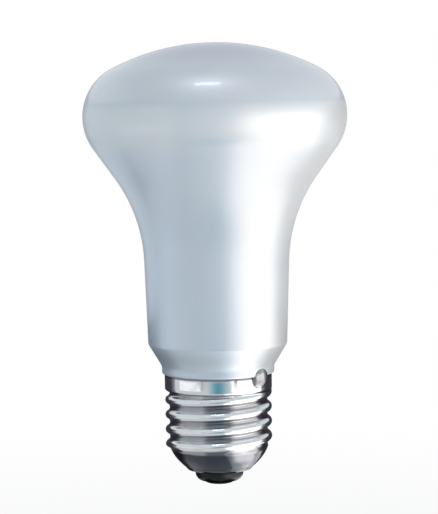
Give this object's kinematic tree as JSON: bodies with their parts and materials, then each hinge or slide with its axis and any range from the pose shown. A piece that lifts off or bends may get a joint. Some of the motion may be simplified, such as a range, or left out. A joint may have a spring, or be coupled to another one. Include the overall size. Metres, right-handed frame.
{
  "type": "led light bulb",
  "caption": "Mushroom-shaped reflector light bulb: a white frosted glass envelope with a domed head, flared body and narrow neck on a metal Edison screw cap.",
  "frame": {"origin": "the flat tip of the solder drop under the cap, on the bulb's axis", "axes": "+Z along the bulb's axis, from the cap to the dome; +X to the right of the pictured side, which faces -Y"},
  "size_m": [0.0642, 0.0642, 0.1079],
  "materials": {
    "frosted_glass": "white frosted glass, satin",
    "nickel_plate": "bright nickel-plated brass sheet",
    "black_glass": "opaque black glass",
    "contact_metal": "dark plated sheet",
    "solder": "dull tin solder",
    "cement": "matt baked cement"
  },
  "bodies": {
    "root": {"glass_envelope": "frosted_glass", "screw_shell": "nickel_plate", "cap_cement": "cement", "cap_insulator": "black_glass", "centre_contact": "contact_metal", "contact_solder": "solder", "side_solder": "solder"}
  },
  "joints": []
}
